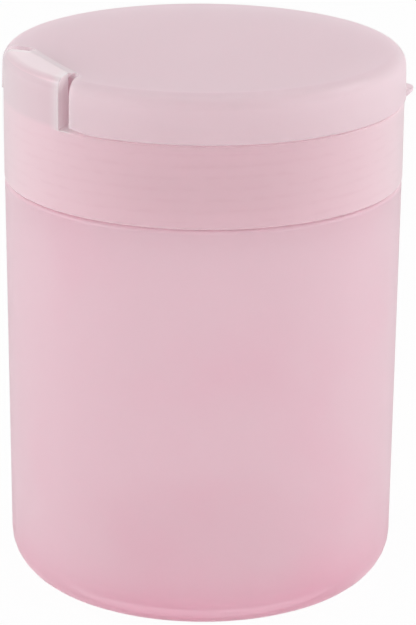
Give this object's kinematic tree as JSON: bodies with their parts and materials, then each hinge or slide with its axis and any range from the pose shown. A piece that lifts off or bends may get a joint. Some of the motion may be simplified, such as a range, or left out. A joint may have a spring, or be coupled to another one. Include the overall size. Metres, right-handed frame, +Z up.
{
  "type": "cotton pad container",
  "caption": "Tall round frosted jar for cotton pads with a screw-on cap whose lid flips up on a living hinge set along a chord of its top.",
  "frame": {"origin": "centre of the base, on the surface that the container stands on", "axes": "+Z up along the jar's axis; the hinge lies on the -X side, and its axis runs along Y"},
  "size_m": [0.0757, 0.076, 0.104],
  "materials": {
    "jar": "frosted translucent pink polypropylene",
    "cap": "frosted translucent pink polypropylene"
  },
  "bodies": {
    "jar": {"jar_body": "jar"},
    "cap": {"cap_collar": "cap", "living_hinge": "cap"},
    "lid": {"flip_lid": "cap"}
  },
  "joints": [
    {"name": "cap_lift", "type": "slide", "parent": "jar", "child": "cap", "axis": [0, 0, 1], "range_m": [0, 0.025]},
    {"name": "lid_flip", "type": "hinge", "parent": "cap", "child": "lid", "pos_m": [-0.0309, 0, 0.1038], "axis": [0, -1, 0], "range_deg": [0, 135], "deforming": ["living_hinge"]}
  ]
}
